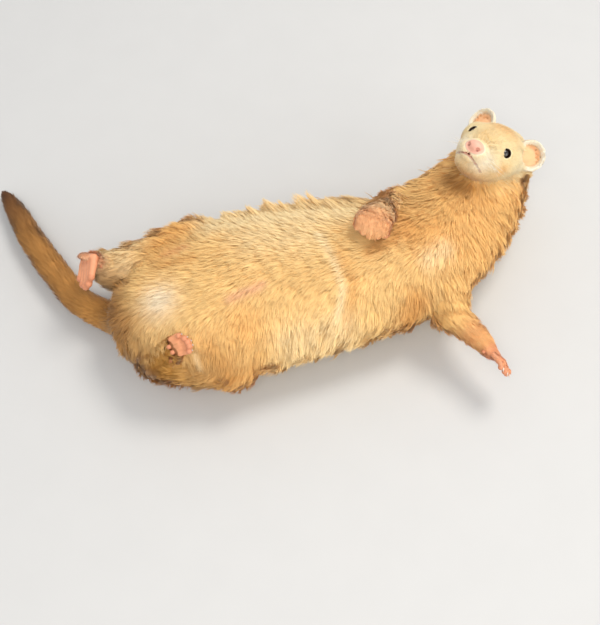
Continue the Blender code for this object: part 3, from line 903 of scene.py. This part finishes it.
def marked(points, colour):
    """The coat's colour with its marks, painted shade among them, laid on by place so that they stay sharp.
    """
    squash = np.array((1, 1, MARK_HEIGHT))
    for stops, reach, mark, strength in MARKS:
        stops = np.array(stops) * squash
        ends = zip(stops, stops[1:] if len(stops) > 1 else stops)
        gap = least(points, (cone(points * squash, start, end, 0, 0) for start, end in ends))
        colour = with_mark(colour, gap / reach, mark, strength)
    side = to_side(points)
    for centre, reach, mark, strength in FACE_MARKS:
        colour = with_mark(colour, norm(side - centre) / reach, mark, strength)
    return colour


def bareness(points):
    """How bare the skin is, from 0 to 1, and its colour there."""
    side = to_side(points)
    share, height = ear_place(side)
    near_eye = norm(side - EYE_AT) - EYE_RADIUS
    lid, out = lid_place(side)
    lid_edge = fade(1.25, 1.1, lid) * (out > 0)
    in_ear = fade(0.82, 0.6, share) * fade(-0.4, 0.3, height) * (share < 1)
    spots = [
        (fade(2.4, 0.8, nose_distance(side)), NOSE_PINK),
        (fade(1.6, 0.95, mouth_gap(side)) * fade(34, 40, side[:, 0]), LIP_PINK),
        # Painted shade in and round the nostrils
        (fade(1.9, 1.0, norm(side - NOSTRIL_AT)), NOSTRIL_SHADE),
        (fade(1.5, 1.0, near_eye), LID_PINK),
        (lid_edge * fade(2, 1.5, near_eye), LID_BROWN),
        (in_ear, EAR_PEACH),
    ]
    for name, paw in PAWS.items():
        toes = least(points, (cone(points, root, tip, radius, radius) for root, _, tip, radius in paw.toes))
        pads = np.array([norm(points - centre) - radius for centre, radius in paw.pads()])
        spots.append((fade(1.4, 0.4, toes) * LEGS[name]["bare"], TOE_PINK))
        # Painted shade on the sole round the palm pads
        spots.append((fade(3.2, 2.2, pads[TOES:].min(axis=0)) * LEGS[name]["sole"], SOLE_SHADE))
        spots.append((fade(0.5, 0.1, pads.min(axis=0)), PAW_PINK))
    bare, colour = np.zeros(len(points)), np.zeros((len(points), 3))
    for amount, tone in spots:
        bare = np.maximum(bare, amount)
        colour = blend(colour, tone, amount)
    return bare, colour


# The skin as an object


def placed_mesh(name, points, faces):
    """A smooth mesh whose points are given in the anatomy's millimetres."""
    mesh = bpy.data.meshes.new(name)
    mesh.from_pydata(((np.asarray(points) - BOX_CENTRE) * MM).tolist(), [], faces)
    mesh.polygons.foreach_set("use_smooth", [True] * len(mesh.polygons))
    return mesh


def add_object(name, data):
    item = bpy.data.objects.new(name, data)
    bpy.context.scene.collection.objects.link(item)
    return item


def add_piece(name, mesh, material, slot):
    piece = add_object(name, mesh)
    mesh.materials.append(material)
    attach(piece, "root")
    return piece


def set_colours(mesh, colours):
    layer = mesh.color_attributes.new("coat", "FLOAT_COLOR", "POINT")
    rows = np.column_stack((colours, np.ones(len(colours))))
    layer.data.foreach_set("color", rows.ravel().astype(np.float32))


def unwrap(piece):
    """Unwraps a piece by its own shape."""
    bpy.ops.object.select_all(action="DESELECT")
    piece.select_set(True)
    bpy.context.view_layer.objects.active = piece
    piece.data.uv_layers.new(name="OFBake")
    bpy.ops.object.mode_set(mode="EDIT")
    bpy.ops.mesh.select_all(action="SELECT")
    bpy.ops.uv.smart_project(angle_limit=math.radians(66), island_margin=0.002)
    bpy.ops.object.mode_set(mode="OBJECT")
    return piece


def make_skin(material):
    net = make_skin_net()
    points = net_points(net)
    mesh = placed_mesh("skin", points, net_faces(net))
    net.free()
    coat = marked(points, in_parts(coat_at, points)[2])
    bare, tone = in_parts(bareness, points)
    set_colours(mesh, blend(coat, tone, bare))
    return unwrap(add_piece("skin", mesh, material, "bare_skin"))


# Fur: tufts of thin blades that lie along the body and gather into locks


def noise(points, size, seed):
    """A soft random number from about -1 to 1 at each point: waves in random directions."""
    source = np.random.default_rng(seed)
    total = np.zeros(len(points))
    for _ in range(6):
        way = source.normal(size=3)
        total += np.sin(points @ way * (1.6 / size) + source.uniform(0, 2 * math.pi))
    return total / 2.5


def read_rows(items, field, width, kind=float):
    values = np.empty(len(items) * width, kind)
    items.foreach_get(field, values)
    return values.reshape(-1, width)


def scatter(skin, source):
    """Roots of tufts, with their places on the unwrap."""
    mesh = skin.data
    mesh.calc_loop_triangles()
    corners = read_rows(mesh.loop_triangles, "vertices", 3, int)
    loops = read_rows(mesh.loop_triangles, "loops", 3, int)
    places = read_rows(mesh.vertices, "co", 3) / MM + BOX_CENTRE
    flat = read_rows(mesh.uv_layers["OFBake"].uv, "vector", 2)
    a, b, c = places[corners].transpose(1, 0, 2)
    across = np.cross(b - a, c - a)
    wanted = norm(across) / 2 * tuft_density((a + b + c) / 3, unit(across))
    ends = np.cumsum(wanted)
    picks = np.searchsorted(ends, np.arange(int(ends[-1])) + source.random(int(ends[-1])))
    picks = np.minimum(picks, len(corners) - 1)
    share = source.dirichlet((1, 1, 1), len(picks))
    roots = np.einsum("nk,nki->ni", share, places[corners[picks]])
    spots = np.einsum("nk,nki->ni", share, flat[loops[picks]])
    return roots, spots


def tuft_density(points, normals):
    """Tufts to a square millimetre."""
    _, depth, _, weights = in_parts(coat_at, points)
    density = np.interp(depth, (0.5, 2, 5, 9), (3.0, 1.7, 0.75, 0.42))
    density = np.where(weights[:, 1] > 0.5, TAIL_DENSITY, density)
    density = density * np.where(normals[:, 2] < -0.55, UNDERSIDE_SHARE, 1)
    return density * (1 - fade(0.15, 0.5, in_parts(bareness, points)[0]))


def tufts_at(roots, spots, source):
    """All that is known of each tuft."""
    flow, depth, colour, weights = in_parts(coat_at, roots)
    normal = unit(in_parts(slope, roots))
    flow = unit(flow - normal * dot(flow, normal)[:, None])
    swirl = noise(roots, 16, 1) * 0.22 + noise(roots, 6, 2) * 0.16 + source.normal(0, 0.08, len(roots))
    side = np.cross(normal, flow)
    flow = unit(flow * np.cos(swirl)[:, None] + side * np.sin(swirl)[:, None])
    return SimpleNamespace(
        root=roots,
        spot=spots,
        normal=normal,
        flow=flow,
        side=np.cross(normal, flow),
        depth=depth,
        colour=colour,
        weights=weights,
        chance=source.random((len(roots), 3)),
        loose=looseness(roots),
    )


def looseness(points):
    """How much further than its depth the coat stands out, along both flanks."""
    where = TRUNK.place(points)
    across = TRUNK.offset(points, where)[:, 0] / TRUNK.read("halves", where)[:, 0]
    flank = fade(0.55, 0.85, np.abs(across)) * fade(14, 28, points[:, 2])
    return flank * np.clip(noise(points, 5, 5) + 0.2, 0, 1) * 0.8


def standing_locks(tufts):
    """Draws the tufts at each place in STANDING_LOCKS together into a point."""
    tufts.point = np.zeros_like(tufts.root)
    tufts.pointed = np.zeros(len(tufts.root))
    for root, tip, reach in STANDING_LOCKS:
        gap = norm(tufts.root - root) / reach
        share = np.exp(-(gap**4)) * fade(0.35, 0.55, tufts.chance[:, 0])
        more = share > tufts.pointed
        tufts.pointed = np.where(more, share, tufts.pointed)
        tufts.point[more] = np.array(tip, float)
    tufts.pointed[tufts.pointed < 0.05] = 0


def only(tufts, chosen):
    return SimpleNamespace(**{name: values[chosen] for name, values in vars(tufts).items()})


def gather(tufts, source):
    """Finds the lock that each tuft belongs to."""
    roots = tufts.root
    starts = np.flatnonzero(source.random(len(roots)) < LOCK_SHARE)
    tree = KDTree(len(starts))
    for i, start in enumerate(starts):
        tree.insert(roots[start], i)
    tree.balance()
    lock = starts[[tree.find(root)[1] for root in roots]]
    tufts.lock = roots[lock] - roots
    tufts.lock_chance = tufts.chance[lock]
    return tufts


def spine(tufts, levels):
    """The middle line of each tuft, level by level."""
    depth, chance = tufts.depth, tufts.lock_chance
    length = LENGTH_SHARE * depth * (0.8 + 0.4 * chance[:, 0]) + 0.8
    height = depth * (RISE[0] + RISE[1] * tufts.chance[:, 1]) * (1 + tufts.loose)
    lines = []
    for t in levels:
        place = tufts.root + tufts.flow * (length * t * (1 - 0.12 * t))[:, None]
        place = place + tufts.lock * (LOCK_PULL * t**1.5)
        wanted = height * (1 - (1 - t) ** 1.6) - ROOT_DEPTH * (t == 0)
        gap = in_parts(skin_distance, place)
        place = place + tufts.normal * np.clip(wanted - gap, -6, 8)[:, None]
        pull = (tufts.pointed * t**1.3)[:, None]
        place = place + (tufts.point - place) * pull
        place[:, 2] = np.maximum(place[:, 2], 0.3 + 0.5 * tufts.chance[:, 2])
        lines.append(place)
    return np.array(lines), length


def blades(tufts, blade_count, levels, width, source):
    """The points, normals, patches, shades and tones of every blade in the tufts."""
    lines, length = spine(tufts, levels)
    normal, side = tufts.normal, tufts.side
    n, steps = len(normal), len(levels)
    spread = np.clip(0.5 * tufts.depth ** 0.5, 0.35, 1.4)
    run = unit(lines[-1] - lines[0])
    steep = fade(0.45, 0.85, np.abs(dot(run, normal)))[:, None]
    outward = normal + steep * np.array((0, 0, 0.3))
    rows = []
    for j in range(blade_count):
        off = source.normal(0, 0.5, (n, 2)) * spread[:, None]
        reach = source.uniform(0.72, 1.08, n)
        splay = source.normal(0, 0.07, n) * length
        twist = source.uniform(-0.6, 0.6, n)
        tone = source.normal(0, 0.05, n)
        wide = unit(side * np.cos(twist)[:, None] + normal * np.sin(twist)[:, None])
        face = unit(np.cross(run, wide))
        turned = np.where(dot(face, outward) < 0, -1, 1)[:, None]
        wide, face = wide * turned, face * turned
        face = unit(normal * (0.9 * (1 - steep)) + face * (0.2 + 0.8 * steep))
        base = side * off[:, :1] + tufts.flow * off[:, 1:]
        for k, t in enumerate(levels):
            middle = lines[0] + (lines[k] - lines[0]) * reach[:, None]
            middle = middle + base * (1 - 0.65 * t) + side * (splay * t * t)[:, None]
            middle[:, 2] = np.maximum(middle[:, 2], 0.25)
            half = width * (0.35 + 0.15 * math.sin(math.pi * min(1, t * 1.3))) * (1 - t**3)
            spot = tufts.spot + SPOT * np.array((j / blade_count - 0.5, t - 0.5))
            for end in [middle] if k == steps - 1 else [middle - wide * half, middle + wide * half]:
                rows.append(np.column_stack((end, face, spot, np.full(n, t), tone)))
    return np.split(np.array(rows).transpose(1, 0, 2).reshape(-1, 10), (3, 6, 8, 9), axis=1)


def blade_faces(count, steps):
    """Triangles of blades with two points a level and one at the tip."""
    faces = []
    for k in range(steps - 2):
        faces += [(2 * k, 2 * k + 3, 2 * k + 1), (2 * k, 2 * k + 2, 2 * k + 3)]
    faces.append((2 * steps - 4, 2 * steps - 2, 2 * steps - 3))
    per_blade = 2 * steps - 1
    return (np.arange(count)[:, None, None] * per_blade + np.array(faces)[None]).reshape(-1, 3)


def make_fur(name, tufts, recipe, material, slot, source):
    blade_count, levels, _ = recipe
    points, normals, spots, grow, tone = blades(tufts, *recipe, source)
    count = len(tufts.root)
    faces = blade_faces(count * blade_count, len(levels))
    mesh = placed_mesh(name, points, faces.tolist())
    layer = mesh.uv_layers.new(name="OFBake")
    layer.uv.foreach_set("vector", spots[faces.ravel()].astype(np.float32).ravel())
    each = len(points) // count
    colour = marked(points, np.repeat(tufts.colour, each, axis=0))
    lift = np.repeat(tufts.lock_chance[:, 2] - 0.5, each)[:, None]
    # Painted shade: each blade darker and warmer towards its root, deep in the coat
    colour = colour * (1 + tone + LOCK_TONE * lift) * (1 - (1 - grow) * ROOT_SHADE)
    set_colours(mesh, np.clip(colour, DARKEST, BRIGHTEST))
    mesh.validate()
    mesh.normals_split_custom_set_from_vertices(normals)
    return add_piece(name, mesh, material, slot)


# Blades to a tuft, their levels from root to tip, and their width
LONG = (5, (0, 0.35, 0.7, 1), 0.7)
SHORT = (4, (0, 0.5, 1), 0.36)
# Painted shade deep in the coat
ROOT_SHADE = np.array((0.0, 0.13, 0.34))  # how much darker a blade is at its root, in red, green and blue
DARKEST, BRIGHTEST = 0.004, 0.95
MOST_TRIANGLES = 180000
ANY = (-FAR, FAR)
THIN, THICK = (-FAR, 3.2), (3.2, FAR)
FORELEGS, HIND_LEGS = (3, 4), (5, 6)
# Pieces of fur: the parts of the body they grow on, as coat_at orders them, their span along the body,
# the depths of coat they take, their blades and their slot
FUR_PIECES = {
    "fur_pelvis": ((0,), (-FAR, -60), ANY, LONG, "belly_fur"),
    "fur_belly": ((0,), (-60, 0), ANY, LONG, "belly_fur"),
    "fur_waist": ((0,), (0, 60), ANY, LONG, "belly_fur"),
    "fur_chest": ((0,), (60, 118), ANY, LONG, "golden_fur"),
    "fur_neck": ((0,), (118, FAR), ANY, LONG, "golden_fur"),
    "fur_tail": ((1,), ANY, ANY, LONG, "tail_fur"),
    "fur_head": ((2,), ANY, THICK, LONG, "face_fur"),
    "fur_face": ((2,), ANY, THIN, SHORT, "face_fur"),
    "fur_forelegs": (FORELEGS, ANY, THICK, LONG, "golden_fur"),
    "fur_forepaws": (FORELEGS, ANY, THIN, SHORT, "golden_fur"),
    "fur_hind_legs": (HIND_LEGS, ANY, THICK, LONG, "golden_fur"),
    "fur_hind_paws": (HIND_LEGS, ANY, THIN, SHORT, "golden_fur"),
}


def within(values, span):
    return (values >= span[0]) & (values < span[1])


def make_coat(skin, material):
    source = np.random.default_rng(SEED)
    tufts = gather(tufts_at(*scatter(skin, source), source), source)
    standing_locks(tufts)
    part = tufts.weights.argmax(axis=1)
    for name, (parts, span, depths, recipe, slot) in FUR_PIECES.items():
        chosen = np.isin(part, parts) & within(tufts.root[:, 0], span) & within(tufts.depth, depths)
        triangles = chosen.sum() * recipe[0] * (2 * len(recipe[1]) - 3)
        pieces = max(1, math.ceil(triangles / MOST_TRIANGLES))
        for i, rows in enumerate(np.array_split(np.flatnonzero(chosen), pieces)):
            label = name if pieces == 1 else f"{name}_{i + 1}"
            make_fur(label, only(tufts, rows), recipe, material, slot, source)


# Eyes, claws and whiskers


def make_eye(name, hand, material):
    """An eyeball with a bulge in front. hand is 1 on the left and -1 on the right."""
    net = bmesh.new()
    bmesh.ops.create_icosphere(net, subdivisions=5, radius=EYE_RADIUS)
    axis = EYE_FRAME[2]
    for vert in net.verts:
        front = max(0.0, float(np.dot(vert.co, axis)) / EYE_RADIUS)
        vert.co *= 1 + CORNEA_BULGE * fade(0.55, 1.0, np.array(front))
    local = net_points(net)
    faces = [face[::hand] for face in net_faces(net)]
    net.free()
    mesh = placed_mesh(name, from_head((EYE_AT + local) * (1, hand, 1)), faces)
    across = norm(local - np.outer(local @ axis, axis))
    set_colours(mesh, blend(EYE_PUPIL, EYE_IRIS, fade(1.7, 2.2, across) * fade(3.9, 3.2, across)))
    return unwrap(add_piece(name, mesh, material, "eye"))


def tapered_tube(points, radii, sides):
    """Points and faces of a tube that ends in a point."""
    points = np.array(points, float)
    tangents = unit(np.gradient(points, axis=0))
    side = unit(np.cross(tangents[0], (0.3, 0.5, 0.81)))
    verts, faces = [], []
    for point, tangent, radius in zip(points[:-1], tangents, radii):
        across = unit(side - tangent * (tangent @ side))
        up = np.cross(tangent, across)
        for k in range(sides):
            angle = 2 * math.pi * k / sides
            verts.append(point + (across * math.cos(angle) + up * math.sin(angle)) * radius)
    verts.append(points[-1])
    rings = len(points) - 1
    for i in range(rings):
        for k in range(sides):
            a, b = i * sides + k, i * sides + (k + 1) % sides
            faces.append((a, b, len(verts) - 1) if i == rings - 1 else (a, b, b + sides, a + sides))
    faces.append(tuple(reversed(range(sides))))
    return verts, faces


def joined(tubes):
    verts, faces = [], []
    for tube_verts, tube_faces in tubes:
        faces += [[len(verts) + i for i in face] for face in tube_faces]
        verts += list(tube_verts)
    return verts, faces


def claw_tube(middle, tip, radius, back):
    """A claw that curves towards the sole."""
    along = unit(tip - middle)
    start = tip - along * radius * 0.6 + back * radius * 0.25
    end = tip + unit(along - back * CLAW_DROOP) * CLAW_LENGTH
    control = start + along * (CLAW_LENGTH * 0.6) + back * 0.7
    t = np.linspace(0, 1, 7)
    shares = t[:, None]
    points = start * (1 - shares) ** 2 + control * (2 * shares * (1 - shares)) + end * shares**2
    return tapered_tube(points, CLAW_RADIUS * (1 - t**1.6 * 0.85), 10)


def add_tubes(name, tubes, material, slot):
    unwrap(add_piece(name, placed_mesh(name, *joined(tubes)), material, slot))


def make_claws(name, paw, material):
    tubes = [claw_tube(middle, tip, radius, paw.back) for _, middle, tip, radius in paw.toes]
    add_tubes(name, tubes, material, "claw")


def whisker(source, hand):
    """One whisker from the pad beside the nose, bent back and down."""
    root = np.array((source.uniform(35, 42), 0, source.uniform(-11.5, -5.5)))
    root[1] = 9.2 - 0.35 * (root[0] - 35)
    way = unit(np.array((0.35, 1.0, source.uniform(-0.35, 0.3))))
    length = source.uniform(13, 24)
    t = np.linspace(0, 1, 8)
    line = root + way * length * t[:, None] + WHISKER_BEND * length * t[:, None] ** 2
    return tapered_tube(from_head(line * (1, hand, 1)), WHISKER_RADIUS * (1 - t) + 0.02, 4)


def make_whiskers(material):
    source = np.random.default_rng(SEED)
    tubes = [whisker(source, hand) for hand in (1, -1) for _ in range(WHISKERS)]
    add_tubes("whiskers", tubes, material, "face_fur")


FUR_LOOK = {
    "Roughness": 0.62,
    "Specular IOR Level": 0.25,
    "Sheen Weight": 0.25,
    "Sheen Roughness": 0.4,
    "Sheen Tint": (1, 0.93, 0.8, 1),
}
SKIN_LOOK = {"Roughness": 0.5, "Specular IOR Level": 0.4}
EYE_LOOK = {"Roughness": 0.03, "Specular IOR Level": 0.6, "Coat Weight": 0.6, "Coat Roughness": 0.02}
CLAW_LOOK = {"Roughness": 0.32, "Specular IOR Level": 0.5}
# Materials: a grain, a bump or None, a tone for pieces without colours of their own, and the look. A grain
# is the noise that varies the colour: its scale, least and greatest effect, and detail. A bump has a
# scale, a strength and a depth.
MATERIALS = {
    "fur": ((90, 0.9, 1.1, 3), None, None, FUR_LOOK),
    "skin": ((260, 0.86, 1.1, 5), (1400, 0.35, 0.0003), None, SKIN_LOOK),
    "eye": ((900, 0.7, 1.2, 3), None, None, EYE_LOOK),
    "claw": ((500, 0.8, 1.12, 3), (900, 0.2, 0.0002), (0.75, 0.62, 0.5), CLAW_LOOK),
    "whisker": ((300, 0.85, 1.05, 3), None, WHITE, {"Roughness": 0.35}),
    "floor": ((30, 0.98, 1.02, 3), None, FLOOR_TONE, {"Roughness": 0.85}),
}
BUMP_DETAIL = 4


def add_node(tree, kind, **values):
    node = tree.nodes.new(kind)
    for name, value in values.items():
        node.inputs[name.replace("_", " ")].default_value = value
    return node


def soft_noise(tree, scale, detail):
    place = add_node(tree, "ShaderNodeTexCoord")
    texture = add_node(tree, "ShaderNodeTexNoise", Scale=scale, Detail=detail)
    tree.links.new(place.outputs["Object"], texture.inputs["Vector"])
    return texture.outputs["Fac"]


def make_material(name):
    """A material whose colour is varied by soft noise."""
    grain, relief, tone, look = MATERIALS[name]
    material = bpy.data.materials.new(name)
    material.use_nodes = True
    tree = material.node_tree
    shader = tree.nodes["Principled BSDF"]
    for socket, value in look.items():
        shader.inputs[socket].default_value = value
    scale, low, high, detail = grain
    span = add_node(tree, "ShaderNodeMapRange", To_Min=low, To_Max=high)
    tree.links.new(soft_noise(tree, scale, detail), span.inputs["Value"])
    product = add_node(tree, "ShaderNodeVectorMath")
    product.operation = "SCALE"
    if tone is None:
        coat = add_node(tree, "ShaderNodeAttribute")
        coat.attribute_name = "coat"
        tree.links.new(coat.outputs["Color"], product.inputs[0])
    else:
        product.inputs[0].default_value = tone
    tree.links.new(span.outputs["Result"], product.inputs["Scale"])
    tree.links.new(product.outputs["Vector"], shader.inputs["Base Color"])
    if relief:
        scale, strength, distance = relief
        bump = add_node(tree, "ShaderNodeBump", Strength=strength, Distance=distance)
        tree.links.new(soft_noise(tree, scale, BUMP_DETAIL), bump.inputs["Height"])
        tree.links.new(bump.outputs["Normal"], shader.inputs["Normal"])
    return material


# The stage


def make_floor():
    mesh = bpy.data.meshes.new("floor")
    corners = [(x * FLOOR_HALF, y * FLOOR_HALF, 0) for x, y in ((-1, -1), (1, -1), (1, 1), (-1, 1))]
    mesh.from_pydata(corners, [], [(0, 1, 2, 3)])
    mesh.materials.append(make_material("floor"))
    floor = add_object("floor", mesh)


def area_light(name, place, size, power, tone):
    light = bpy.data.lights.new(name, "AREA")
    light.shape = "DISK"
    light.size = size
    light.energy = power
    light.color = tone
    lamp = add_object(name, light)
    lamp.location = place
    lamp.rotation_euler = (Vector(LOOK_AT) - Vector(place)).to_track_quat("-Z", "Y").to_euler()


def make_lights():
    for lamp in LAMPS:
        area_light(*lamp)
    world = bpy.data.worlds.new("studio")
    world.use_nodes = True
    sky = world.node_tree.nodes["Background"]
    sky.inputs["Color"].default_value = SKY_TONE
    sky.inputs["Strength"].default_value = SKY_STRENGTH
    bpy.context.scene.world = world


def make_camera():
    """The photograph's view: from the side and well above."""
    turn, rise = math.radians(CAMERA_TURN), math.radians(CAMERA_RISE)
    back = Vector((math.sin(turn) * math.cos(rise), -math.cos(turn) * math.cos(rise), math.sin(rise)))
    data = bpy.data.cameras.new("camera")
    data.sensor_fit = "VERTICAL"
    data.sensor_height = SENSOR_HEIGHT
    data.lens = FOCAL_PIXELS / PHOTO_HEIGHT * SENSOR_HEIGHT
    data.clip_start = 0.01
    camera = add_object("camera", data)
    camera.location = Vector(LOOK_AT) + back * CAMERA_DISTANCE
    camera.rotation_euler = back.to_track_quat("Z", "Y").to_euler()
    bpy.context.scene.camera = camera


FLESH = [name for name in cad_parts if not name.startswith("eye_")]


def build():
    skin = make_skin(make_material("skin"))
    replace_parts(skin, *FLESH)
    make_coat(skin, make_material("fur"))
    gloss, horn = make_material("eye"), make_material("claw")
    for name, hand in (("eye_left", 1), ("eye_right", -1)):
        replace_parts(make_eye(f"eyeball{name[3:]}", hand, gloss), name)
    for name, paw in PAWS.items():
        make_claws("claws_" + name, paw, horn)
    make_whiskers(make_material("whisker"))
    make_floor()
    make_lights()
    make_camera()
    bpy.context.scene.view_settings.view_transform = "Standard"


build()
